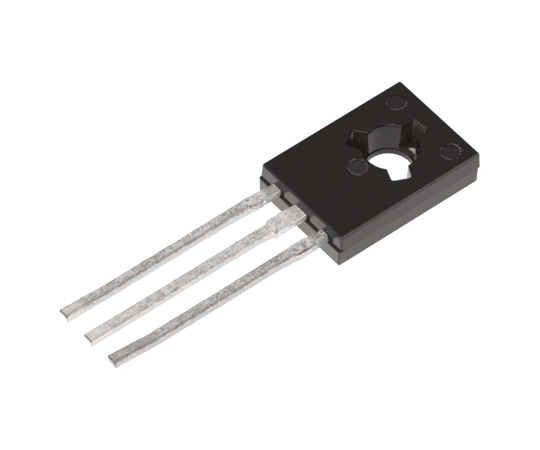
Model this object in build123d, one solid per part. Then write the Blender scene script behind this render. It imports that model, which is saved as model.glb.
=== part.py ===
from build123d import *

import math
import os

# A flat moulded power transistor lying on its metal back, with its three leads along -Y.
# Lengths are in millimetres, drafts and turns in degrees.
# The origin is on the axis of the screw hole, in the plane of the back.

# Moulded case, measured at the parting plane of its two mould halves
case_width = 7.55
case_length = 10.87
case_thickness = 2.35
hole_to_tab_end = 3.94
parting_height = 1.18
upper_draft = 2.8
lower_draft = 0.9
mould_shift = 0.13
case_corner_radius = 0.15
top_edge_radius = 0.13
back_edge_radius = 0.06

# Screw hole: a resin sleeve lines the plate, and above it the hole is wider and lobed
screw_hole_radius = 1.5
sleeve_height = 0.37
hole_ledge = 0.08
hole_draft = 4.0
lobe_count = 3
lobe_turn = 5.0
lobe_reach = 2.55
lobe_root_width = 1.34
lobe_tip_width = 1.2
lobe_corner_radius = 0.18
lobe_root_share = 0.8
hole_rim_radius = 0.09

# Round marks that the ejector pins leave on the front
pin_mark_radius = 0.58
pin_mark_depth = 0.04
pin_mark_spread = 5.0
pin_mark_to_tab_end = 1.37
pin_mark_below_hole = 2.53

# Stamped plate behind the moulding, with a thinned rim that the resin grips
sheet_thickness = 0.5
plate_width = 5.6
plate_end_wall = 0.7
plate_lead_cover = 3.1
plate_hole_radius = 1.88
plate_corner_radius = 0.4
rim_width = 0.3
rim_thickness = 0.25
joggle_run = 1.3
joggle_radius = 0.5

# Leads
lead_pitch = 2.25
lead_length = 15.95
lead_width = 0.72
lead_edge_radius = 0.1
collector_wide_width = 1.18
collector_wide_length = 2.3
dambar_start = 1.15
dambar_length = 1.2
dambar_width = 0.92
dambar_slope = 0.2
paddle_width = 1.5
paddle_length = 1.5
paddle_cover = 0.75
tip_bend_length = 3.2
tip_bend_radius = 8.0
emitter_tip_lift = 0.1
collector_tip_lift = 0.05
base_tip_lift = 0.28

# Chip, its solder and its bond wires, whose section is a polygon that is nearly round
chip_size = 1.4
chip_thickness = 0.22
chip_to_plate_edge = 0.3
solder_thickness = 0.05
solder_margin = 0.07
wire_radius = 0.1
wire_sides = 12
wire_foot_length = 0.4
wire_bend_radius = 0.2
wire_pad_share = 0.25
wire_bed_share = 0.7
wire_loop_share = 0.42
wire_rise_share = 0.32
wire_fall_share = 0.72
wire_post_share = 0.25

# Length by which a cutting tool passes the surface that it cuts
overrun = 1.0

# Place along an edge, and shares of its direction there, that tell upright edges and edges
# straight across a lead
mid_share = 0.5
steep_share = 0.7
square_share = 0.98

case_tab_end = hole_to_tab_end
case_lead_end = hole_to_tab_end - case_length
lead_centre_height = parting_height + sheet_thickness / 2
lead_top = parting_height + sheet_thickness
lead_tip = case_lead_end - lead_length
plate_tab_end = case_tab_end - plate_end_wall
plate_lead_end = case_lead_end + plate_lead_cover
plate_length = plate_tab_end - plate_lead_end
chip_centre_y = plate_lead_end + chip_to_plate_edge + solder_margin + chip_size / 2
chip_base = sheet_thickness + solder_thickness
chip_top = chip_base + chip_thickness
paddle_end = case_lead_end + paddle_cover
paddle_start = paddle_end + paddle_length


def is_upright(edge):
    """True for an edge that runs mainly along Z."""
    return abs((edge % mid_share).Z) > steep_share


def is_across(edge):
    """True for an edge that runs straight across a lead, along X."""
    return abs((edge % mid_share).X) > square_share


def mould_half(plane, height, draft, rim_radius):
    """One drafted half of the case, growing away from the parting plane, with rounded edges."""
    section = plane * Rectangle(case_width, case_length)
    half = extrude(section, amount=height, taper=draft)
    half = fillet([edge for edge in half.edges() if is_upright(edge)], case_corner_radius)
    outer_face = half.faces().sort_by(Axis(plane.origin, plane.z_dir))[-1]
    return fillet(outer_face.edges(), rim_radius)


def moulded_form():
    """Outer form of the case: the two halves meet at lead level, a little out of line."""
    middle_y = case_tab_end - case_length / 2
    upper_plane = Plane(origin=(0, middle_y, parting_height))
    lower_plane = Plane(
        origin=(0, middle_y - mould_shift, parting_height),
        x_dir=(1, 0, 0),
        z_dir=(0, 0, -1),
    )
    upper = mould_half(upper_plane, case_thickness - parting_height, upper_draft, top_edge_radius)
    lower = mould_half(lower_plane, parting_height, lower_draft, back_edge_radius)
    return upper + lower


def hole_core():
    """Core that leaves the screw hole in the moulding: a drafted pin with lobes round it, on a
    plain pin that leaves the sleeve."""
    foot_radius = screw_hole_radius + hole_ledge
    pin_height = case_thickness - sleeve_height + overrun
    mouth_radius = foot_radius + pin_height * math.tan(math.radians(hole_draft))
    standing = (Align.CENTER, Align.CENTER, Align.MIN)
    core = Pos(0, 0, sleeve_height) * Cone(foot_radius, mouth_radius, pin_height, align=standing)
    root = foot_radius * lobe_root_share
    outline = make_face(
        Polyline(
            (root, -lobe_root_width / 2),
            (lobe_reach, -lobe_tip_width / 2),
            (lobe_reach, lobe_tip_width / 2),
            (root, lobe_root_width / 2),
            close=True,
        )
    )
    outline = fillet(outline.vertices().sort_by(Axis.X)[-2:], lobe_corner_radius)
    lobe = extrude(outline, amount=case_thickness - sheet_thickness + overrun)
    for index in range(lobe_count):
        turn = Rot(0, 0, 90 + lobe_turn + index * 360 / lobe_count)
        core += Pos(0, 0, sheet_thickness) * turn * lobe
    plain_pin = Cylinder(screw_hole_radius, sleeve_height + 2 * overrun, align=standing)
    return core + Pos(0, 0, -overrun) * plain_pin


def pin_marks():
    """Discs to sink into the front where the ejector pins pressed."""
    disc = Cylinder(
        pin_mark_radius,
        pin_mark_depth + overrun,
        align=(Align.CENTER, Align.CENTER, Align.MIN),
    )
    floor = case_thickness - pin_mark_depth
    upper_y = case_tab_end - pin_mark_to_tab_end
    places = [
        (-pin_mark_spread / 2, upper_y, floor),
        (pin_mark_spread / 2, upper_y, floor),
        (0, -pin_mark_below_hole, floor),
    ]
    return [Pos(*place) * disc for place in places]


def bent_strip(points, bend_radius, width):
    """Sheet strip of the given width along a route of (y, z) points, bent at its inner points."""
    path = FilletPolyline(*[(0, y, z) for y, z in points], radius=bend_radius)
    plane = Plane(origin=path @ 0, x_dir=(1, 0, 0), z_dir=path % 0)
    return sweep(plane * Rectangle(width, sheet_thickness), path)


def blank(half_outline, axis_x):
    """Stamped outline, mirrored about a lead's axis, as a prism through the whole height."""
    right = [(half_width, y) for y, half_width in half_outline]
    left = [(-x, y) for x, y in reversed(right)]
    outline = make_face(Polyline(*right, *left, close=True))
    prism = extrude(outline, amount=case_thickness + 2 * overrun)
    return Pos(axis_x, 0, -overrun) * prism


def soft_edges(lead, inner_y):
    """Round the edges along a lead, outside inner_y, as its thick tin coat does."""
    outer_edges = [
        edge
        for edge in lead.edges()
        if edge.bounding_box().max.Y < inner_y and not is_upright(edge) and not is_across(edge)
    ]
    return fillet(outer_edges, lead_edge_radius)


def formed_lead(axis_x, half_outline, rounded_from, tip_lift):
    """Lead stamped to an outline, at lead level, with rounded edges and a tip bent up."""
    inner_end = half_outline[0][0]
    route = [
        (inner_end, lead_centre_height),
        (lead_tip + tip_bend_length, lead_centre_height),
        (lead_tip, lead_centre_height + tip_lift),
    ]
    strip = bent_strip(route, tip_bend_radius, plate_width)
    lead = Pos(axis_x, 0, 0) * strip & blank(half_outline, axis_x)
    return soft_edges(lead, rounded_from + lead_edge_radius)


def middle_lead():
    """Middle lead: wide from inside the case to where the dam bar was cut, then narrow."""
    shoulder = case_lead_end - collector_wide_length
    step = (collector_wide_width - lead_width) / 2
    outline = [
        (paddle_end, collector_wide_width / 2),
        (shoulder, collector_wide_width / 2),
        (shoulder - step, lead_width / 2),
        (lead_tip, lead_width / 2),
    ]
    return formed_lead(0, outline, paddle_end, collector_tip_lift)


def collector_frame():
    """Plate with its hole and gripping rim, and the joggle that lifts it to the middle lead."""
    route = [
        (plate_tab_end, sheet_thickness / 2),
        (plate_lead_end, sheet_thickness / 2),
        (plate_lead_end - joggle_run, lead_centre_height),
        (paddle_end, lead_centre_height),
    ]
    outline = [
        (plate_tab_end, plate_width / 2),
        (plate_lead_end, plate_width / 2),
        (plate_lead_end, collector_wide_width / 2),
        (paddle_end, collector_wide_width / 2),
    ]
    plate = bent_strip(route, joggle_radius, plate_width) & blank(outline, 0)
    corners = [
        edge
        for edge in plate.edges()
        if is_upright(edge) and abs(edge.center().X) > plate_width / 2 - rim_width
    ]
    plate = fillet(corners, plate_corner_radius) - rim_relief()
    hole = Cylinder(plate_hole_radius, sheet_thickness + 2 * overrun)
    return plate - hole + middle_lead()


def rim_relief():
    """Ring cut away behind the plate's rim, all round the face that stays bare."""
    middle_y = plate_lead_end + plate_length / 2
    bare = RectangleRounded(
        plate_width - 2 * rim_width,
        plate_length - 2 * rim_width,
        plate_corner_radius,
    )
    ring = Rectangle(plate_width + 2 * overrun, plate_length + 2 * overrun) - bare
    neck = Rectangle(collector_wide_width, plate_length, align=(Align.CENTER, Align.MAX))
    depth = sheet_thickness - rim_thickness
    return Pos(0, middle_y, 0) * extrude(ring - neck, amount=depth)


def side_lead(axis_x, tip_lift):
    """Outer lead with its bonding paddle and the cut stubs of the dam bar."""
    stub_start = case_lead_end - dambar_start
    stub_end = stub_start - dambar_length
    outline = [
        (paddle_start, paddle_width / 2),
        (paddle_end, paddle_width / 2),
        (paddle_end, lead_width / 2),
        (stub_start, lead_width / 2),
        (stub_start - dambar_slope, dambar_width / 2),
        (stub_end, dambar_width / 2),
        (stub_end - dambar_slope, lead_width / 2),
        (lead_tip, lead_width / 2),
    ]
    return formed_lead(axis_x, outline, paddle_end, tip_lift)


def silicon_die():
    """Chip, soldered to the plate between the hole and the leads."""
    return Pos(0, chip_centre_y, chip_base) * Box(
        chip_size,
        chip_size,
        chip_thickness,
        align=(Align.CENTER, Align.CENTER, Align.MIN),
    )


def die_solder():
    """Solder layer, a little wider than the chip that sits on it."""
    width = chip_size + 2 * solder_margin
    return Pos(0, chip_centre_y, sheet_thickness) * Box(
        width,
        width,
        solder_thickness,
        align=(Align.CENTER, Align.CENTER, Align.MIN),
    )


def bond_wire(side, chip, lead):
    """Wire that rises from the chip, arches over and lands on a paddle, its feet pressed flat."""
    start = Vector(side * chip_size * wire_pad_share, chip_centre_y, 0)
    end_x = side * (lead_pitch - paddle_width * wire_post_share)
    end = Vector(end_x, paddle_start - paddle_length / 2, 0)
    along = (end - start).normalized()
    span = (end - start).length
    bed = wire_radius * wire_bed_share
    loop_height = lead_top + (case_thickness - lead_top) * wire_loop_share
    route = [
        (-wire_foot_length / 2, chip_top + bed),
        (wire_foot_length / 2, chip_top + bed),
        (span * wire_rise_share, loop_height),
        (span * wire_fall_share, loop_height),
        (span - wire_foot_length / 2, lead_top + bed),
        (span + wire_foot_length / 2, lead_top + bed),
    ]
    points = [start + along * distance + Vector(0, 0, height) for distance, height in route]
    path = FilletPolyline(*points, radius=wire_bend_radius)
    section = Plane(origin=path @ 0, z_dir=path % 0) * RegularPolygon(wire_radius, wire_sides)
    return sweep(section, path) - chip - lead


def build_parts():
    """All the pieces by name, with the case cast round the others."""
    emitter = side_lead(-lead_pitch, emitter_tip_lift)
    base = side_lead(lead_pitch, base_tip_lift)
    chip = silicon_die()
    inner = {
        "collector_frame": collector_frame(),
        "emitter_lead": emitter,
        "base_lead": base,
        "silicon_die": chip,
        "die_solder": die_solder(),
        "emitter_bond_wire": bond_wire(-1, chip, emitter),
        "base_bond_wire": bond_wire(1, chip, base),
    }
    case = moulded_form() - hole_core()
    front = case.faces().sort_by(Axis.Z)[-1]
    case = fillet(front.inner_wires()[0].edges(), hole_rim_radius) - pin_marks()
    for piece in inner.values():
        case -= piece
    return {"epoxy_body": case, **inner}


os.makedirs("parts", exist_ok=True)
for name, piece in build_parts().items():
    export_step(piece, f"parts/{name}.step")
    print(name, len(piece.solids()), "solid", round(piece.volume, 3), "mm3")
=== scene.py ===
# %% [markdown]
# # A moulded power transistor
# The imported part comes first: its pieces stand in one frame, in metres, with the screw hole's axis at the
# origin and the metal back on the floor. Everything that follows dresses those pieces and moves none of them.

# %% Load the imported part
import math
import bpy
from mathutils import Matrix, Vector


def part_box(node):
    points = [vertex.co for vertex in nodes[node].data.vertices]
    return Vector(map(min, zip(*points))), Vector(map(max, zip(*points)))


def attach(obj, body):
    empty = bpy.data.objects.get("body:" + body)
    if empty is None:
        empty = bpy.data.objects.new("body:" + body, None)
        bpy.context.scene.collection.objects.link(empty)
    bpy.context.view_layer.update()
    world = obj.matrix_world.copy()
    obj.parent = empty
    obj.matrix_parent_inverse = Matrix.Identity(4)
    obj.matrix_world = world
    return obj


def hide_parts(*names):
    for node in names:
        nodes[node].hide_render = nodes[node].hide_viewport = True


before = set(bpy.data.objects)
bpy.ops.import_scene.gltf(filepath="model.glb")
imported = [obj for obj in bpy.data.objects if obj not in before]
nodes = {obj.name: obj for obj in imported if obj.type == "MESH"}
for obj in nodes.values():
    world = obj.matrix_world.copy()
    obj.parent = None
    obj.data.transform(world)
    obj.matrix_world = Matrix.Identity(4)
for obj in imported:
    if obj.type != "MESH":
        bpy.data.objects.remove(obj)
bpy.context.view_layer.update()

from types import SimpleNamespace

import bpy
from mathutils import Quaternion, Vector

MM = 0.001


def millimetres(box):
    """The two corners of a box in millimetres, to the nearest micrometre."""
    return [[round(x / MM, 3) for x in corner] for corner in box]


print("Pieces:", ", ".join(sorted(nodes)))

# %% [markdown]
# ## The camera
# The picture was taken with a long lens, so the edges of the case stay nearly parallel. The camera is set by
# what a photographer would note down: the point aimed at, the two angles, a slight tilt and the distance.
# The lights are placed in the same way later on, so both go through `aim`.

# %% Place the camera
view_azimuth = 49.16
view_elevation = 49.96
view_tilt = 2.04
view_distance = 320.1 * MM
view_aim = Vector((-0.47, -8.86, 1.2)) * MM
lens_length = 361.3
sensor_width = 36.0


def direction(azimuth, elevation):
    """Where two angles in degrees point: azimuth turns from -Y towards +X, and elevation rises."""
    turn = math.radians(azimuth)
    rise = math.radians(elevation)
    return Vector((math.sin(turn) * math.cos(rise), -math.cos(turn) * math.cos(rise), math.sin(rise)))


def aim(thing, away, distance, tilt=0.0):
    """Set a camera or a light off from the aimed point, along a direction, and turn it to look back there."""
    bpy.context.scene.collection.objects.link(thing)
    thing.location = view_aim + away * distance
    thing.rotation_mode = "QUATERNION"
    level_turn = (-away).to_track_quat("-Z", "Y")
    thing.rotation_quaternion = level_turn @ Quaternion((0, 0, 1), math.radians(tilt))


camera_data = bpy.data.cameras.new("camera")
camera_data.lens = lens_length
camera_data.sensor_width = sensor_width
camera = bpy.data.objects.new("camera", camera_data)
aim(camera, direction(view_azimuth, view_elevation), view_distance, view_tilt)
bpy.context.scene.camera = camera
print("Camera at", [round(x / MM, 1) for x in camera.location], "mm")

# %% [markdown]
# ## Sums with shader sockets
# A pattern is easier to read as a formula than as a web of nodes. This class wraps one socket, and its
# operators add the Math node that they stand for, so that `1 - mask` works as it does for numbers. Any other
# node comes from `node`, which makes the node's own choices first and then fills its sockets. The methods
# after it are short names for the nodes that the finishes use most.

# %% A socket that takes part in formulas
def fill(tree, socket, value):
    """Link a pattern to a socket, or set a plain value on it."""
    if isinstance(value, Pattern):
        tree.links.new(value.socket, socket)
    else:
        socket.default_value = value


class Pattern:
    """A shader socket that Python's operators work on."""

    def __init__(self, tree, socket):
        self.tree = tree
        self.socket = socket

    def node(self, kind, choices=None, sockets=None, output=0):
        """Add a node, make its choices, fill or link its sockets and give one of its outputs."""
        made = self.tree.nodes.new("ShaderNode" + kind)
        for name, choice in (choices or {}).items():
            setattr(made, name, choice)
        by_name = {socket.identifier: socket for socket in made.inputs}
        for name, value in (sockets or {}).items():
            socket = made.inputs[name] if isinstance(name, int) else by_name[name]
            fill(self.tree, socket, value)
        return Pattern(self.tree, made.outputs[output])

    def maths(self, operation, first, second):
        """A Math node with two inputs."""
        return self.node("Math", {"operation": operation}, {0: first, 1: second})

    def __add__(self, other):
        return self.maths("ADD", self, other)

    def __radd__(self, other):
        return self.maths("ADD", other, self)

    def __sub__(self, other):
        return self.maths("SUBTRACT", self, other)

    def __rsub__(self, other):
        return self.maths("SUBTRACT", other, self)

    def __mul__(self, other):
        return self.maths("MULTIPLY", self, other)

    def __rmul__(self, other):
        return self.maths("MULTIPLY", other, self)

    def size(self):
        """The value without its sign."""
        return self.node("Math", {"operation": "ABSOLUTE"}, {0: self})

    def axis(self, letter):
        """One coordinate of a place."""
        return self.node("SeparateXYZ", None, {"Vector": self}, output="XYZ".index(letter))

    def scaled(self, x, y, z):
        """A place with its coordinates multiplied: a pattern read there is drawn out where they shrink."""
        return self.node("VectorMath", {"operation": "MULTIPLY"}, {0: self, 1: (x, y, z)})

    def length(self):
        """How far a place is from the origin."""
        return self.node("VectorMath", {"operation": "LENGTH"}, {0: self}, output=1)

    def distance(self, point):
        """How far a place is from a point."""
        return self.node("VectorMath", {"operation": "DISTANCE"}, {0: self, 1: point}, output=1)

    def noise(self, size, detail=3.0, roughness=0.5):
        """Soft blotches about this many millimetres across, at this place."""
        sockets = {"Vector": self, "Scale": 1 / size, "Detail": detail, "Roughness": roughness}
        return self.node("TexNoise", {"noise_dimensions": "3D"}, sockets)

    def step(self, low, high):
        """0 below low, 1 above high and a smooth rise between them."""
        choices = {"interpolation_type": "SMOOTHSTEP"}
        return self.node("MapRange", choices, {"Value": self, "From Min": low, "From Max": high})

    def blend(self, first, second):
        """A colour between two others, by this share."""
        sockets = {"Factor_Float": self, "A_Color": first, "B_Color": second}
        return self.node("Mix", {"data_type": "RGBA"}, sockets, output=2)

    def bump(self, strength, depth):
        """A normal that this relief tilts, with its depth in millimetres."""
        return self.node("Bump", None, {"Strength": strength, "Distance": depth * MM, "Height": self})


print("Pattern class ready")

# %% Start and finish a material
def new_material(name):
    """A material, its shader, and the surface's place in millimetres as a pattern."""
    material = bpy.data.materials.new(name)
    material.use_nodes = True
    tree = material.node_tree
    coordinates = tree.nodes.new("ShaderNodeTexCoord")
    place = Pattern(tree, coordinates.outputs["Object"])
    place = place.node("VectorMath", {"operation": "SCALE"}, {"Vector": place, "Scale": 1 / MM})
    return material, tree.nodes["Principled BSDF"], place


def wire_up(shader, **looks):
    """Link patterns to the shader's sockets, and set plain numbers and colours on them."""
    for name, value in looks.items():
        fill(shader.id_data, shader.inputs[name.replace("_", " ")], value)


def dress(piece, material):
    """Give a piece its one finish."""
    piece.data.materials.clear()
    piece.data.materials.append(material)


print("Material tools ready")

# %% [markdown]
# ## Measures that finishes and shapes share
# Patterns and modelled pieces have to meet at the same edges, so both take their measures, in millimetres,
# from here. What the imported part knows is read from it. The rest is what tells one lead from the next: each
# one is cut from its dam bar, dipped and bent a little differently. The dam bar is the strip that tied the
# leads together and kept the resin in while the case was moulded.

# %% Case and leads in millimetres
mould_shift = 0.13
sheet_thickness = 0.5
half_lead = 0.36
lead_pitch = 2.25

case_low, case_high = millimetres(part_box("epoxy_body"))
front_height = case_high[2]
# The lower half of the case stands out past the upper one, and the leads come out between them.
case_end = case_low[1] + mould_shift

lead_low = millimetres(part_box("emitter_lead"))[0]
tip_y = lead_low[1]
lead_bottom = lead_low[2]
lead_top = lead_bottom + sheet_thickness
parting_height = lead_bottom

# A stub or root is what the width gains on that side, at the cut dam bar or where the lead leaves the case.
# A lean is how far the top of the right flank stands in from its foot, along the lead and at its root.
# A spread is how far the tin ran past the left edge, along the lead and at its tip.
emitter = SimpleNamespace(
    axis_x=-lead_pitch, left_stub=0.04, left_root=-0.06, right_stub=0.14, right_root=0.07,
    lean=0.17, root_lean=0.0, spread=0.05, tip_spread=0.1, lift=0.1)
middle = SimpleNamespace(
    axis_x=0.0, left_stub=0.25, left_root=0.14, right_stub=0.26, right_root=0.23,
    lean=0.1, root_lean=0.0, spread=0.06, tip_spread=0.07, lift=0.05)
base = SimpleNamespace(
    axis_x=lead_pitch, left_stub=0.07, left_root=-0.03, right_stub=0.16, right_root=0.08,
    lean=0.13, root_lean=0.22, spread=0.05, tip_spread=0.09, lift=0.28)
print("Front at", front_height, "lead end at", round(case_end, 3), "tips at", tip_y, "lead top at", lead_top)

# %% [markdown]
# ## Black moulding resin
# Filled epoxy comes out of the mould nearly black. Most of its tone is gloss: the front mirrors the light
# overhead and the sides mirror the white floor, so the base colour stays very dark. What has been pressed is
# a little lighter, and the rounded edges of the front carry a painted highlight, strongest on the +X side.
# Masks worked out from the place on the case put these where they belong, which needs no image: first on the
# seam of the two mould halves and on the rounded edges of the front.

# %% Seam and painted edge highlights
flat_half_width = 3.6
flat_tab_end = 3.76
far_highlight_share = 0.25
seam_tone = (0.04, 0.037, 0.035, 1)
edge_highlight_tone = (0.09, 0.086, 0.083, 1)


def at_lead_end(place):
    """Mask of the face that the leads come out of."""
    return 1 - place.axis("Y").step(case_end + 0.15, case_end + 0.23)


def on_front(place):
    """Mask of the front, down to the floors of the pin marks."""
    return place.axis("Z").step(front_height - 0.07, front_height - 0.05)


def scuffs_and_highlight_breaks(place):
    """Patchy noise: where handling has rubbed the resin, and where the painted edge highlight breaks up."""
    return place.noise(0.5, 4.0, 0.6).step(0.1, 0.5)


def tone_seam_and_edge_highlights(colour, place):
    """Lighten the seam at the lead end, and paint a highlight on the front's rounded edges, strongest on +X.
    """
    off_seam = (place.axis("Z") - parting_height).size()
    seam = (1 - off_seam.step(0.01, 0.03)) * at_lead_end(place)
    colour = seam.blend(colour, seam_tone)
    sideways = place.axis("X")
    near_edge = sideways.step(flat_half_width - 0.02, flat_half_width + 0.01)
    right_of_edge = sideways.step(-flat_half_width - 0.03, -flat_half_width + 0.01)
    short_of_tab = 1 - place.axis("Y").step(flat_tab_end, flat_tab_end + 0.04)
    far_edges = 1 - short_of_tab * right_of_edge
    # Painted highlight along the front's rounded edges, strongest on +X, broken up in patches.
    edge_highlight = (near_edge + far_edges * far_highlight_share) * on_front(place) * scuffs_and_highlight_breaks(place)
    return edge_highlight.blend(colour, edge_highlight_tone)


print("Seam and edges ready")

# %% [markdown]
# ### Hole and pin marks
# The walls of the lobes and the ledge on top of the sleeve are painted lighter: painted fill light that
# brightens the dark hollow of the hole. The flats that the ejector pins pressed into the front are dull,
# most of all the one between the hole and the leads.

# %% Painted light in the hole, and tones of the pin marks
hole_draft = 0.07
bore_radius = 1.6
lobe_reach = 2.75
sleeve_radius = 1.5
sleeve_height = 0.37
lobe_fill_light = (0.055, 0.048, 0.043, 1)
ledge_fill_light = (0.05, 0.044, 0.04, 1)

pin_radius = 0.6
pin_dullness = {(-2.5, 2.57): 0.4, (2.5, 2.57): 0.4, (0.0, -2.53): 1.0}
pin_tone = (0.028, 0.026, 0.025, 1)


def paint_light_in_hole(colour, place):
    """Paint fill light on the walls of the lobes and on the ledge of the sleeve."""
    height = place.axis("Z")
    from_axis = place.scaled(1.0, 1.0, 0.0).length()
    past_bore = (from_axis - height * hole_draft).step(bore_radius - 0.03, bore_radius)
    in_lobes = past_bore * (1 - from_axis.step(lobe_reach, lobe_reach + 0.1))
    above_plate = height.step(sheet_thickness - 0.05, sheet_thickness - 0.01)
    below_rim = 1 - height.step(front_height - 0.11, front_height - 0.05)
    # Painted fill light on the walls of the lobes.
    colour = (in_lobes * above_plate * below_rim).blend(colour, lobe_fill_light)
    on_ledge = from_axis.step(sleeve_radius - 0.02, sleeve_radius)
    on_ledge = on_ledge * (1 - from_axis.step(bore_radius + 0.04, bore_radius + 0.08))
    on_ledge = on_ledge * height.step(sleeve_height - 0.05, sleeve_height - 0.02)
    on_ledge = on_ledge * (1 - height.step(sleeve_height + 0.03, sleeve_height + 0.07))
    # Painted fill light on the ledge above the sleeve.
    return on_ledge.blend(colour, ledge_fill_light)


def tone_pins(colour, place):
    """Dull the flats that the ejector pins pressed into the front."""
    for (x, y), dullness in pin_dullness.items():
        from_pin = place.distance((x, y, front_height))
        pressed = (1 - from_pin.step(pin_radius - 0.08, pin_radius)) * on_front(place)
        pressed = pressed * (0.5 + scuffs_and_highlight_breaks(place) * 0.5)
        colour = (pressed * dullness).blend(colour, pin_tone)
    return colour


print("Hole and", len(pin_dullness), "pin marks ready")

# %% [markdown]
# ### The whole finish of the case
# Resin next to the lead frame stayed rough: just above the seam at the lead end, and in a narrow strip to
# the right of each root. Rough resin mirrors less, so those places read as dark pockets. Their mask goes into
# the roughness, together with soft clouds. A fine grain from the mould's sparked skin goes into the bump.

# %% Black epoxy
resin_dark = (0.0065, 0.0048, 0.004, 1)
resin_light = (0.0085, 0.0064, 0.0054, 1)
resin_roughness = 0.13
pocket_roughness = 0.8


def rough_pockets(place):
    """Mask of the rough resin above the seam and beside the roots."""
    sideways = place.axis("X")
    height = place.axis("Z")
    rough = 1 - height.step(parting_height + 0.14, parting_height + 0.24)
    below_lead_top = 1 - height.step(lead_top - 0.02, lead_top + 0.12)
    for lead in (emitter, middle, base):
        edge = lead.axis_x + half_lead + lead.right_root
        beside_root = sideways.step(edge - 0.05, edge) * (1 - sideways.step(edge + 0.24, edge + 0.34))
        rough = rough + beside_root * below_lead_top
    above_seam = height.step(parting_height - 0.02, parting_height + 0.02)
    return rough * above_seam * at_lead_end(place)


def black_epoxy():
    """Resin of the case."""
    material, shader, place = new_material("black_epoxy")
    clouds = place.noise(1.6, 4.0)
    colour = clouds.blend(resin_dark, resin_light)
    for tone in (tone_seam_and_edge_highlights, paint_light_in_hole, tone_pins):
        colour = tone(colour, place)
    roughness = resin_roughness + clouds * 0.06 + rough_pockets(place) * pocket_roughness
    grain = place.noise(0.05, 2.0) * 0.7 + place.noise(0.16, 2.0) * 0.3
    wire_up(shader, Base_Color=colour, Roughness=roughness, Normal=grain.bump(0.3, 0.004), IOR=1.5)
    return material


resin = black_epoxy()
dress(nodes["epoxy_body"], resin)
print("Case in", resin.name)

# %% [markdown]
# ## Hot-dipped tin
# The leads were dipped in molten tin, which froze in soft lumps of a few tenths of a millimetre. The lumps
# themselves are modelled further on, and the finish adds what is too fine for them. Each lead came out of
# the bath a little different, so each one gets a tin of its own, made by the same functions from its own
# tones. They start from a map of the lead: how near a place is to the root, the tip and the stubs of the dam
# bar, and how far it lies inside the two upper edges.

# %% A map of one lead
stub_start = case_end - 2.3


def grey(value):
    """A faintly warm grey."""
    return (value, value * 0.98, value * 0.96, 1)


def map_lead(place, lead, tones):
    """Masks of the parts of a lead, and the gaps from a place to its upper edges."""
    along = place.axis("Y")
    height = place.axis("Z")
    across = place.axis("X") - lead.axis_x
    root_start = case_end - tones.root_reach
    tip_start = tip_y + tones.tip_reach
    near_root = along.step(root_start - 0.2, root_start + 0.2)
    near_tip = 1 - along.step(tip_start - 0.4, tip_start + 0.4)
    swollen = along.step(stub_start - 0.3, stub_start)
    right_edge = half_lead + swollen * lead.right_stub + near_root * (lead.right_root - lead.right_stub)
    left_edge = half_lead + swollen * lead.left_stub + near_root * (lead.left_root - lead.left_stub)
    lean = lead.lean + near_root * (lead.root_lean - lead.lean)
    return SimpleNamespace(
        along=along, height=height, across=across,
        near_root=near_root, near_tip=near_tip, swollen=swollen, at_stubs=swollen * (1 - near_root),
        on_top=height.step(lead_top - 0.18, lead_top - 0.08),
        right_gap=right_edge - lean - across, left_gap=left_edge + lead.spread + across)


print("Map of a lead ready")

# %% [markdown]
# ### Ground of the tin
# Seen close up, the tin is a mottle of round blotches, long streaks and broad patches, as it ran and froze.
# The mottle is partly the tin's own tone and partly painted shading of its lumps. Over that lies a frost of
# light and dark crystals about a tenth of a millimetre across; the light ones are painted glints. A noise
# texture gives each of them. Read at a place that is shrunk along the lead, it comes out long.

# %% Mottle, frost and painted glints
def add_patterns(at, place):
    """Add to a lead's map the patterns that more than one coat uses."""
    at.patch_place = place.scaled(0.7, 0.45, 1.0)
    at.blotches = place.noise(0.26, 2.0, 0.6).step(0.32, 0.68)
    at.streaks = place.scaled(1.0, 0.15, 1.0).noise(0.18, 1.0).step(0.34, 0.66)
    at.grains = place.scaled(1.0, 0.3, 1.0).noise(0.12, 1.0)


def mottled_ground(at, place, tones):
    """Mottle of dull and bright, partly painted shading, with frost, painted glints and tones at both ends.
    """
    patches = at.patch_place.noise(0.45, 2.0).step(0.38, 0.62)
    # The mottle is partly painted shading of the tin's lumps.
    mottle = at.blotches * 0.45 + at.streaks * 0.25 + patches * 0.3
    colour = mottle.blend(grey(tones.dull), grey(tones.bright))
    frost = place.noise(0.13, 2.0, 0.7)
    dark_frost = 1 - frost.step(0.38, 0.5)
    frost_glints = frost.step(0.5, 0.62)
    colour = (dark_frost * 0.42).blend(colour, grey(tones.dull * 0.6))
    # The light frost is painted glints.
    colour = (frost_glints * 0.45).blend(colour, grey(1.0))
    colour = (at.near_root * (0.9 - at.blotches * 0.3)).blend(colour, grey(tones.root))
    return (at.near_tip * (0.95 - at.blotches * 0.5)).blend(colour, grey(tones.tip))


print("Ground of the tin ready")

# %% [markdown]
# ### Grains and stubs
# Fine grains run along the lead, some painted bright as glints and some dark, and weaker at the tip. At the
# stubs the metal is brighter, and torn pits show where the dam bar was cut away. The shears also left a
# slanting mark there, across the right half of each lead.

# %% Grains, pits and cut marks
cut_slant = 0.82
glint_tone = grey(0.95)
grain_dark = grey(0.32)
stub_bright = grey(0.96)
pit_dark = grey(0.2)
cut_dark = grey(0.3)


def glint_and_grain_coat(colour, at, tones):
    """Painted glints and dark grains, weaker at the tip."""
    off_tip = 1 - at.near_tip * 0.7
    # The bright grains are painted glints.
    colour = (at.grains.step(0.55, 0.7) * off_tip * tones.sparkle).blend(colour, glint_tone)
    specks = (1 - at.grains.step(0.3, 0.4)) * off_tip
    return (specks * 0.7).blend(colour, grain_dark)


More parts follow.
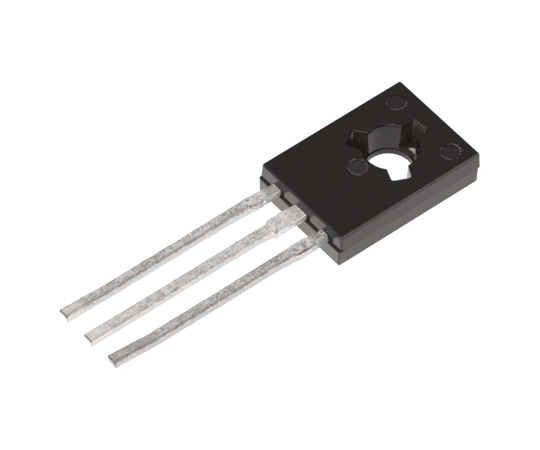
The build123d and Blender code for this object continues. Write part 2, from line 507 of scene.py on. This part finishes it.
def stub_coat(colour, at, tones):
    """Bright stubs with pits, and the mark of the shears."""
    colour = (at.at_stubs * 0.6).blend(colour, stub_bright)
    pits = at.patch_place.noise(0.2, 4.0, 0.7).step(0.53, 0.6) * at.at_stubs
    colour = (pits * tones.pitted).blend(colour, pit_dark)
    off_mark = (at.along + at.across * cut_slant - tones.cut_mark).size()
    mark = (1 - off_mark.step(0.03, 0.08)) * at.across.step(0.0, 0.2)
    return (mark * 0.5).blend(colour, cut_dark)


print("Grains and stubs ready")

# %% [markdown]
# ### Edges of a lead
# The flanks are where the sheet was sheared. They have one even tone without the mottle, painted lighter as
# a painted reflection of the white floor. Along each upper edge runs a painted shade line, which stands in
# for the dark reflection on the rounded edge. The one on the right, where the flank leans in, is wider and
# broken up by the streaks.

# %% Flanks and painted edge shades
left_edge_shade_tone = grey(0.3)
right_edge_shade_tone = grey(0.26)
stub_edge_shade_tone = grey(0.1)


def edge_coat(colour, at, tones):
    """Flanks in a painted reflection tone, and painted shade lines along the upper edges."""
    inside = at.right_gap.step(-0.06, 0.0) * at.left_gap.step(0.0, 0.04)
    flank = (1 - inside) * (1 - at.on_top)
    # The flank's lighter grey is a painted reflection of the floor.
    colour = flank.blend(colour, (0.98 * tones.flank, tones.flank, tones.flank, 1))
    left_edge_shade = (1 - at.left_gap.step(0.04, 0.1)) * at.on_top * (1 - at.near_root)
    # Painted shade along the left upper edge.
    colour = (left_edge_shade * 0.6).blend(colour, left_edge_shade_tone)
    crease = at.right_gap.step(-0.06, 0.0) * (1 - at.right_gap.step(0.04, 0.17))
    crease = crease * at.on_top * (0.45 + at.streaks * 0.55)
    # Painted shade along the right upper edge, darkest at the stubs.
    colour = (crease * (1 - at.swollen) * tones.crease).blend(colour, right_edge_shade_tone)
    return (crease * at.at_stubs * tones.stub_crease).blend(colour, stub_edge_shade_tone)


print("Edges of a lead ready")

# %% [markdown]
# ### Root and tip
# At the root the upper edges carry painted highlights, in broken lines. The base lead's root is torn, in
# light and dark grains. A painted shadow lies between each root and the case. At the other end the shears
# left bare, dark metal along the upper edge of the tip and at its right corner.

# %% Root and tip
torn_dark = grey(0.16)
crevice_shadow_tone = grey(0.02)
sheared_dark = grey(0.14)


def root_coat(colour, at, tones):
    """Torn end, painted highlights on the edges and a painted shadow where the lead meets the case."""
    torn = at.along.step(case_end - 0.42, case_end - 0.28) * at.on_top * tones.torn
    colour = (torn * at.grains.step(0.48, 0.52)).blend(colour, grey(1.0))
    colour = (torn * (1 - at.grains.step(0.42, 0.46))).blend(colour, torn_dark)
    # Painted highlights along the root's upper edges, in broken lines.
    broken = 0.3 + at.grains.step(0.4, 0.6) * 0.5
    side_lines = 1 - at.right_gap.step(0.05, 0.09) * at.left_gap.step(0.05, 0.09)
    end_line = at.along.step(case_end - 0.13, case_end - 0.09)
    root_edge_highlights = side_lines * broken + end_line * broken
    colour = (root_edge_highlights * at.on_top * at.near_root).blend(colour, grey(1.0))
    # Painted shadow where the lead goes into the case.
    crevice_shadow = at.along.step(case_end - 0.04, case_end + 0.02)
    return crevice_shadow.blend(colour, crevice_shadow_tone)


def tip_coat(colour, at, tones):
    """Bare metal that the shears left at the tip."""
    at_end = 1 - at.along.step(tip_y + 0.06, tip_y + 0.1)
    upper_edge = at_end * at.height.step(tones.tip_height - 0.14, tones.tip_height - 0.1)
    right_corner = (1 - at.along.step(tip_y + 0.03, tip_y + 0.06)) * at.across.step(0.27, 0.31)
    return (upper_edge * 0.9 + right_corner * 0.5).blend(colour, sheared_dark)


print("Root and tip ready")

# %% [markdown]
# ### A tin for each lead
# The coats go on one over another, from the ground to the marks at the two ends. `dull` and `bright` are the
# greys of the mottle, and `flank`, `root` and `tip` are greys of their own; the flank's is a painted
# reflection. A `reach` is how many millimetres the tone of the root or the tip goes, and `cut_mark` is where
# the mark of the shears meets the lead's axis. The others say how strong a mark is on this lead, among them
# the painted glints and the painted edge shades.

# %% Tinned copper
def tinned_copper(name, lead, **tones):
    """Tin for one lead, from its shape and the tones that set it apart from its neighbours."""
    material, shader, place = new_material(name)
    tones = SimpleNamespace(tip_height=lead_top + lead.lift, **tones)
    at = map_lead(place, lead, tones)
    add_patterns(at, place)
    colour = mottled_ground(at, place, tones)
    for coat in (glint_and_grain_coat, stub_coat, edge_coat, root_coat, tip_coat):
        colour = coat(colour, at, tones)
    relief = at.blotches + at.grains
    roughness = 0.36 - at.blotches * 0.1
    wire_up(shader, Base_Color=colour, Roughness=roughness, Metallic=0.32, Normal=relief.bump(0.4, 0.008))
    return material


emitter_tin = tinned_copper(
    "emitter_tin", emitter, dull=0.37, bright=0.93, sparkle=0.6, flank=0.65, root=0.44, root_reach=0.95,
    tip=0.87, tip_reach=1.4, crease=0.7, stub_crease=0.15, pitted=0.8, torn=0, cut_mark=-8.82)
middle_tin = tinned_copper(
    "middle_tin", middle, dull=0.55, bright=1.0, sparkle=0.75, flank=0.65, root=0.68, root_reach=1.0,
    tip=0.9, tip_reach=1.6, crease=0.28, stub_crease=0.1, pitted=0.4, torn=0, cut_mark=-8.75)
base_tin = tinned_copper(
    "base_tin", base, dull=0.34, bright=0.83, sparkle=0.4, flank=0.55, root=0.3, root_reach=0.95,
    tip=0.49, tip_reach=3.0, crease=0.9, stub_crease=0.9, pitted=0.6, torn=0.8, cut_mark=-9.2)
for name, tin in (("emitter_lead", emitter_tin), ("collector_frame", middle_tin), ("base_lead", base_tin)):
    dress(nodes[name], tin)
    print(name, "in", tin.name)

# %% [markdown]
# ## The plate
# The plate under the chip is tinned too. Where the hole's lobes come down on it, the metal is coloured
# nearly black on its upper side, except for one spot. The film is too thin to be a shape, so it is a colour
# here.

# %% Stamped plate
darkened_tone = (0.035, 0.031, 0.028, 1)
darkened_reach = 2.6
bare_spot = (-0.05, 1.8, sheet_thickness)


def stamped_plate():
    """Tin of the plate, darkened round the hole except at one spot."""
    material, shader, place = new_material("stamped_plate")
    skin = place.noise(0.12, 4.0, 0.65).step(0.3, 0.7)
    colour = skin.blend(grey(0.45), grey(0.95))
    on_upper_side = place.axis("Z").step(sheet_thickness - 0.1, sheet_thickness - 0.04)
    near_hole = 1 - place.length().step(darkened_reach, darkened_reach + 0.1)
    # Nearly black on the upper side round the hole, except at one spot.
    darkened = on_upper_side * near_hole * place.distance(bare_spot).step(0.3, 0.42)
    colour = darkened.blend(colour, darkened_tone)
    relief = skin.bump(0.5, 0.015)
    wire_up(shader, Base_Color=colour, Roughness=0.5 - skin * 0.1, Metallic=0.3, Normal=relief)
    return material


plate_metal = stamped_plate()
print("Plate's metal ready")

# %% [markdown]
# ## What the resin hides
# The chip, its solder and the two bond wires are sealed in. They still get finishes of their own, so that the
# part also looks right when someone takes the case away.

# %% Chip, solder and wire
def polished_silicon():
    """Bare silicon with faint clouds."""
    material, shader, place = new_material("silicon")
    clouds = place.noise(0.4, 2.0)
    colour = clouds.blend((0.2, 0.21, 0.24, 1), (0.34, 0.35, 0.39, 1))
    wire_up(shader, Base_Color=colour, Roughness=0.12 + clouds * 0.08, Metallic=0.85)
    return material


def dull_solder():
    """Solder with a frozen skin."""
    material, shader, place = new_material("solder")
    skin = place.noise(0.15, 3.0)
    colour = skin.blend((0.4, 0.4, 0.4, 1), (0.58, 0.58, 0.57, 1))
    relief = skin.bump(0.4, 0.01)
    wire_up(shader, Base_Color=colour, Roughness=0.42 + skin * 0.2, Metallic=0.95, Normal=relief)
    return material


def drawn_aluminium():
    """Aluminium wire with the marks of the die that it was drawn through."""
    material, shader, place = new_material("bond_wire")
    marks = place.noise(0.05, 2.0)
    colour = marks.blend((0.78, 0.78, 0.79, 1), (0.9, 0.9, 0.91, 1))
    wire_up(shader, Base_Color=colour, Roughness=0.22 + marks * 0.16, Metallic=1.0)
    return material


dress(nodes["silicon_die"], polished_silicon())
dress(nodes["die_solder"], dull_solder())
wire_metal = drawn_aluminium()
for name in ("emitter_bond_wire", "base_bond_wire"):
    dress(nodes[name], wire_metal)
print("Inner finishes ready")

# %% [markdown]
# ## Tools for modelling a stamped lead
# A lead is a flat strip whose width changes along it. By hand one would take a cube, cut it across at each
# change and pull the cut points out or in, so the helpers below do that. The work is done at one unit per
# millimetre, because the voxel remesh that comes later can't go finer than 0.1 mm in metres.

# %% Pick points and edges by their place
same_place = 0.001


def start_picking(kind):
    """Deselect everything in edit mode, then leave it, so that code can select."""
    bpy.ops.object.mode_set(mode="EDIT")
    bpy.ops.mesh.select_mode(type=kind)
    bpy.ops.mesh.select_all(action="DESELECT")
    bpy.ops.object.mode_set(mode="OBJECT")


def pick_points(piece, wanted):
    """Select, in edit mode, the points whose place passes a test."""
    start_picking("VERT")
    for point in piece.data.vertices:
        point.select = wanted(point.co)
    bpy.ops.object.mode_set(mode="EDIT")


def pick_edges(piece, wanted):
    """Select, in edit mode, the edges whose two ends pass a test."""
    start_picking("EDGE")
    points = piece.data.vertices
    for edge in piece.data.edges:
        edge.select = wanted(points[edge.vertices[0]].co, points[edge.vertices[1]].co)
    bpy.ops.object.mode_set(mode="EDIT")


def apply_place():
    """Move the place, turn and scale of the selected object into its mesh."""
    bpy.ops.object.transform_apply(location=True, rotation=True, scale=True)


print("Picking tools ready")

# %% Cut a strip to an outline
def cut_strip(name, stations, bottom, top):
    """A strip along Y, cut across at each station (y, left x, right x, lean) and drawn to its width there.

    The lean is how far the top of the right flank stands in from its foot.
    """
    first, last = stations[0][0], stations[-1][0]
    middle_height = (bottom + top) / 2
    bpy.ops.object.select_all(action="DESELECT")
    bpy.ops.mesh.primitive_cube_add(size=1.0, location=(0, (first + last) / 2, middle_height))
    piece = bpy.context.object
    piece.name = piece.data.name = name
    piece.scale = (1.0, first - last, top - bottom)
    apply_place()
    bpy.ops.object.mode_set(mode="EDIT")
    for station in stations[1:-1]:
        bpy.ops.mesh.select_all(action="SELECT")
        bpy.ops.mesh.bisect(plane_co=(0, station[0], 0), plane_no=(0, 1, 0))
    for y, left, right, lean in stations:
        pick_points(piece, lambda at: abs(at.y - y) < same_place and at.x < 0)
        bpy.ops.transform.translate(value=(left + 0.5, 0, 0))
        pick_points(piece, lambda at: abs(at.y - y) < same_place and at.x > 0)
        bpy.ops.transform.translate(value=(right - 0.5, 0, 0))
        pick_points(piece, lambda at: abs(at.y - y) < same_place and at.x > 0 and at.z > middle_height)
        bpy.ops.transform.translate(value=(-lean, 0, 0))
    bpy.ops.object.mode_set(mode="OBJECT")
    return piece


print("Strip tool ready")

# %% [markdown]
# ## The coat of tin
# Tin rounds the stamped edges and freezes in lumps. A bevel gives the rounding. A voxel remesh then covers
# the strip with an even skin of small faces, and Displace modifiers push that skin about: one in and out by
# long swells, and two up and down by lumps, which the sheared flanks don't have. A bump texture alone would
# leave the outline ruler-straight, which a dipped lead never is.

# %% Bend the tip and round the edges
tip_margin = 0.01
edge_round = 0.06


def lift_tip(piece, lift):
    """Bend the end of a lead up by sliding its last points."""
    pick_points(piece, lambda at: at.y < tip_y + tip_margin)
    bpy.ops.transform.translate(value=(0, 0, lift))
    bpy.ops.object.mode_set(mode="OBJECT")


def round_edges(piece):
    """Bevel the long edges of a strip, and the edges of its tip."""
    pick_edges(piece, lambda a, b: abs(a.y - b.y) > same_place or max(a.y, b.y) < tip_y + tip_margin)
    bpy.ops.mesh.bevel(offset=edge_round, offset_type="OFFSET", segments=3, affect="EDGES")
    bpy.ops.object.mode_set(mode="OBJECT")


print("Tip and edge tools ready")

# %% Push a skin about
skin_step = 0.033
# Each layer is the size of its lumps, their height and the way they push.
lump_layers = ((1.1, 0.035, "NORMAL"), (0.4, 0.045, "Z"), (0.18, 0.012, "Z"))


def push_skin(piece, size, height, way, still_level=0.5, depth=2):
    """Displace a piece by clouds of this size, read where its points are; the still level doesn't move."""
    clouds = bpy.data.textures.new(piece.name + "_clouds", "CLOUDS")
    clouds.noise_scale = size
    clouds.noise_depth = depth
    push = piece.modifiers.new("push", "DISPLACE")
    push.texture = clouds
    push.texture_coords = "LOCAL"
    push.direction = way
    push.strength = height
    push.mid_level = still_level
    bpy.ops.object.modifier_apply(modifier=push.name)


def add_lumps(piece):
    """Remesh a lead to an even skin and push it about, layer by layer."""
    skin = piece.modifiers.new("even_skin", "REMESH")
    skin.mode = "VOXEL"
    skin.voxel_size = skin_step
    bpy.ops.object.modifier_apply(modifier=skin.name)
    smooth = piece.modifiers.new("smooth", "SMOOTH")
    smooth.factor = 0.5
    smooth.iterations = 3
    bpy.ops.object.modifier_apply(modifier=smooth.name)
    for size, height, way in lump_layers:
        push_skin(piece, size, height, way, depth=1)
    bpy.ops.object.shade_smooth()


def settle(piece, material, node=None):
    """Shrink a piece from millimetres to metres, dress it and hand it to the frame."""
    piece.scale = (MM, MM, MM)
    apply_place()
    dress(piece, material)
    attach(piece, "root")
    if node:
        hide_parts(node)
    print(piece.name, len(piece.data.polygons), "faces")


print("Tin coat tools ready")

# %% [markdown]
# ## The two outer leads
# Each outer lead starts as a bonding paddle inside the case, comes out narrow, swells where the dam bar was
# cut away, and runs straight to a tip that is bent up a little. Both are cut by the same function, each from
# its own measures, because no two dipped leads come out alike.

# %% Emitter and base leads
bend_y = -19.68
paddle_half_width = 0.75
paddle_start = -4.68
paddle_end = -6.16
neck_y = -6.18


def straight_stretch(lead, start):
    """The last stations of a lead: where it is down to its own width, its bend and its tip."""
    left_edge = -half_lead - lead.spread
    return [
        (start, left_edge, half_lead, lead.lean),
        (bend_y, left_edge, half_lead, lead.lean),
        (tip_y, -half_lead - lead.tip_spread, half_lead, 0.3 * lead.lean),
    ]


def form_lead(name, lead, stations):
    """Cut a lead, bend its tip, round its edges, move it to its axis and give it its lumps."""
    piece = cut_strip(name, stations, lead_bottom, lead_top)
    lift_tip(piece, lead.lift)
    round_edges(piece)
    piece.location.x = lead.axis_x
    apply_place()
    add_lumps(piece)
    return piece


def outer_stations(lead):
    """Outline of an outer lead: paddle, root, swelling at the cut dam bar and straight stretch."""
    left_root = -half_lead - lead.left_root
    right_root = half_lead + lead.right_root
    left_edge = -half_lead - lead.spread
    left_stub = left_edge - lead.left_stub
    right_stub = half_lead + lead.right_stub
    waist_lean = 0.6 * lead.lean + 0.4 * lead.root_lean
    left_cut = left_edge - 0.4 * lead.left_stub
    right_cut = half_lead + 0.6 * lead.right_stub
    return [
        # The paddle and the neck after it are inside the case.
        (paddle_start, -paddle_half_width, paddle_half_width, 0),
        (paddle_end, -paddle_half_width, paddle_half_width, 0),
        (neck_y, left_root, right_root, lead.root_lean),
        # The root keeps its width a little way out of the case.
        (case_end - 0.4, left_root, right_root, lead.root_lean),
        # The swelling starts on the right, and the stubs follow on both sides.
        (case_end - 1.15, left_edge, right_stub, waist_lean),
        (case_end - 1.35, left_stub, right_stub, lead.lean),
        (case_end - 2.25, left_stub, right_stub, lead.lean),
        # Past the cut the lead thins out over a long stretch.
        (case_end - 2.5, left_cut, right_cut, lead.lean),
    ] + straight_stretch(lead, case_end - 4.3)


emitter_piece = form_lead("emitter_lead_tinned", emitter, outer_stations(emitter))
settle(emitter_piece, emitter_tin, "emitter_lead")
base_piece = form_lead("base_lead_tinned", base, outer_stations(base))
settle(base_piece, base_tin, "base_lead")

# %% [markdown]
# ## The middle lead and its plate
# The middle lead is one with the plate that the chip sits on. It leaves the case wide and steps down to lead
# width at the cut dam bar. Its outer stretch is modelled as the other leads are. The plate keeps the imported
# shape: a copy is merged into one skin and cut off where the modelled lead takes over, inside the case.

# %% Middle lead
handover_y = -6.3


def shoulder_stations(lead):
    """Outline of the middle lead: wide root, short step at the cut dam bar and straight stretch."""
    left_root = -half_lead - lead.left_root
    right_root = half_lead + lead.right_root
    left_stub = -half_lead - lead.left_stub
    right_stub = half_lead + lead.right_stub
    left_edge = -half_lead - lead.spread
    return [
        # The wide root starts inside the case.
        (handover_y, left_root, right_root, lead.root_lean),
        (case_end - 0.1, left_root, right_root, lead.root_lean),
        # It widens on the left first, up to the cut dam bar.
        (case_end - 1.1, left_stub + 0.02, right_root, 0.3 * lead.lean),
        (case_end - 2.2, left_stub, right_stub, lead.lean),
        # The left side steps down at once, and the right side a little later.
        (case_end - 2.26, left_edge - 0.06, right_stub, lead.lean),
        (case_end - 2.4, left_edge, right_stub - 0.04, lead.lean),
        (case_end - 2.5, left_edge, half_lead + 0.08, lead.lean),
    ] + straight_stretch(lead, case_end - 3.6)


middle_piece = form_lead("middle_lead_tinned", middle, shoulder_stations(middle))
settle(middle_piece, middle_tin, "collector_frame")

# %% Plate
merge_distance = 0.0005
smooth_angle = math.radians(30)


def select_only(piece):
    """Make a piece the only selected object, and the active one."""
    bpy.ops.object.select_all(action="DESELECT")
    piece.select_set(True)
    bpy.context.view_layer.objects.active = piece


plate = bpy.data.objects.new("collector_plate", nodes["collector_frame"].data.copy())
bpy.context.scene.collection.objects.link(plate)
select_only(plate)
bpy.ops.object.mode_set(mode="EDIT")
bpy.ops.mesh.select_all(action="SELECT")
bpy.ops.mesh.remove_doubles(threshold=merge_distance * MM)
bpy.ops.mesh.bisect(plane_co=(0, handover_y * MM, 0), plane_no=(0, 1, 0), use_fill=True, clear_inner=True)
bpy.ops.mesh.customdata_custom_splitnormals_clear()
bpy.ops.object.mode_set(mode="OBJECT")
bpy.ops.object.shade_smooth_by_angle(angle=smooth_angle)
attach(plate, "root")
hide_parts("collector_frame")
dress(plate, plate_metal)
print(plate.name, len(plate.data.polygons), "faces")

# %% [markdown]
# ## Rings round the ejector pins
# Resin creeps into the thin gap round each ejector pin and leaves a fine broken ring on the front. One torus
# is flattened, and copied to each pin mark. A Displace modifier along Z then lifts some stretches of a copy
# and sinks others below the surface. The clouds are read at the ring's own place, so no two break alike.

# %% One plain ring
flash_radius = 0.07
flash_flatness = 0.7


def flash_with_painted_highlight():
    """Resin of the rings, painted paler than the case as a highlight, in patches."""
    material, shader, place = new_material("flash_with_painted_highlight")
    ring_patches = place.noise(0.2, 3.0)
    # The rings' paler colour is a painted highlight along them.
    colour = ring_patches.step(0.4, 0.6).blend((0.02, 0.018, 0.017, 1), (0.08, 0.075, 0.072, 1))
    wire_up(shader, Base_Color=colour, Roughness=0.35 + ring_patches * 0.2)
    return material


ring_centre = (0, 0, front_height)
bpy.ops.object.select_all(action="DESELECT")
bpy.ops.mesh.primitive_torus_add(major_radius=pin_radius, minor_radius=flash_radius, major_segments=72,
                                 minor_segments=10, location=ring_centre)
plain_ring = bpy.context.object
apply_place()
bpy.ops.object.mode_set(mode="EDIT")
bpy.ops.mesh.select_all(action="SELECT")
bpy.ops.transform.resize(value=(1, 1, flash_flatness), center_override=ring_centre)
bpy.ops.object.mode_set(mode="OBJECT")
print("Plain ring", len(plain_ring.data.polygons), "faces")

# %% A broken ring for each pin
wave_size = 0.6
wave_height = 0.3
wave_still_level = 0.62
flash = flash_with_painted_highlight()
for index, (x, y) in enumerate(pin_dullness, start=1):
    ring = bpy.data.objects.new("pin_flash_%d" % index, plain_ring.data.copy())
    ring.data.name = ring.name
    bpy.context.scene.collection.objects.link(ring)
    select_only(ring)
    ring.location = (x, y, 0)
    apply_place()
    push_skin(ring, wave_size, wave_height, "Z", wave_still_level)
    bpy.ops.object.shade_smooth()
    settle(ring, flash)
# Removing its mesh removes the plain ring too.
bpy.data.meshes.remove(plain_ring.data)

# %% [markdown]
# ## Floor and light
# The part lies on white paper that is overexposed, so the paper glows by itself and takes no shadow. It is a
# little warm, which shows only where the case mirrors it. Its glow is painted brighter in a band under the
# roots of the leads, a painted pool of light that the end of the case mirrors, and painted dimmer inside the
# hole, a painted shade that the bore mirrors.

# %% Floor
paper_glow = (1, 0.945, 0.925)
glow_strength = 1.385
lit_band_share = 1.4
band_rise = (-9.0, -7.8)
band_fall = (-6.9, -6.2)
hole_shade_share = 0.8


def glow_times(share):
    """The paper's glow, brighter or dimmer."""
    return tuple(share * part for part in paper_glow) + (1,)


bpy.ops.object.select_all(action="DESELECT")
bpy.ops.mesh.primitive_plane_add(size=2.0, location=(0, 0, -0.01 * MM))
floor = bpy.context.object
floor.name = "floor"
paper, paper_shader, place = new_material("white_paper")
depth = place.axis("Y")
lit_band = depth.step(*band_rise) * (1 - depth.step(*band_fall))
# A painted pool of light on the paper under the roots of the leads.
glow = lit_band.blend(glow_times(1), glow_times(lit_band_share))
outside_hole = place.length().step(sleeve_radius - 0.1, sleeve_radius + 0.1)
# Painted shade on the paper inside the hole.
glow = outside_hole.blend(glow_times(hole_shade_share), glow)
wire_up(paper_shader, Base_Color=(0.05, 0.05, 0.05, 1), Roughness=1.0, Specular_IOR_Level=0.0,
        Emission_Color=glow, Emission_Strength=glow_strength)
dress(floor, paper)
print("Floor ready")

# %% [markdown]
# Four square softboxes light the part. A wide, dim and slightly warm one hangs overhead, and the front of
# the case mirrors it. The key light stands beyond the tips and brightens the tops of the leads. A small one
# behind on the right draws the line along the near edge of the case. A low one on the left lights the tips
# and the lead end of the case. The world adds a dim white, so that no shadow is quite black.

# %% Lights
world_strength = 0.1
world = bpy.data.worlds.new("studio")
world.use_nodes = True
background = world.node_tree.nodes["Background"]
background.inputs["Color"].default_value = (1, 1, 1, 1)
background.inputs["Strength"].default_value = world_strength
bpy.context.scene.world = world


def softbox(name, azimuth, elevation, distance, size, radiance, colour=(1, 1, 1)):
    """A square area light that looks at the part from this direction, as bright as asked when looked at."""
    data = bpy.data.lights.new(name, "AREA")
    data.shape = "SQUARE"
    data.size = size
    data.energy = radiance * math.pi * size ** 2
    data.color = colour
    aim(bpy.data.objects.new(name, data), direction(azimuth, elevation), distance)


softbox("overhead_softbox", 0.0, 90.0, distance=0.75, size=1.8, radiance=0.33, colour=(1.0, 0.92, 0.87))
softbox("key_softbox", 10.0, 55.0, distance=0.6, size=0.8, radiance=1.7)
softbox("rim_softbox", 122.0, 40.0, distance=0.6, size=0.32, radiance=0.7)
softbox("fill_softbox", -35.0, 22.0, distance=0.6, size=0.4, radiance=0.9)
bpy.context.scene.view_settings.view_transform = "Standard"
print("Lights ready")
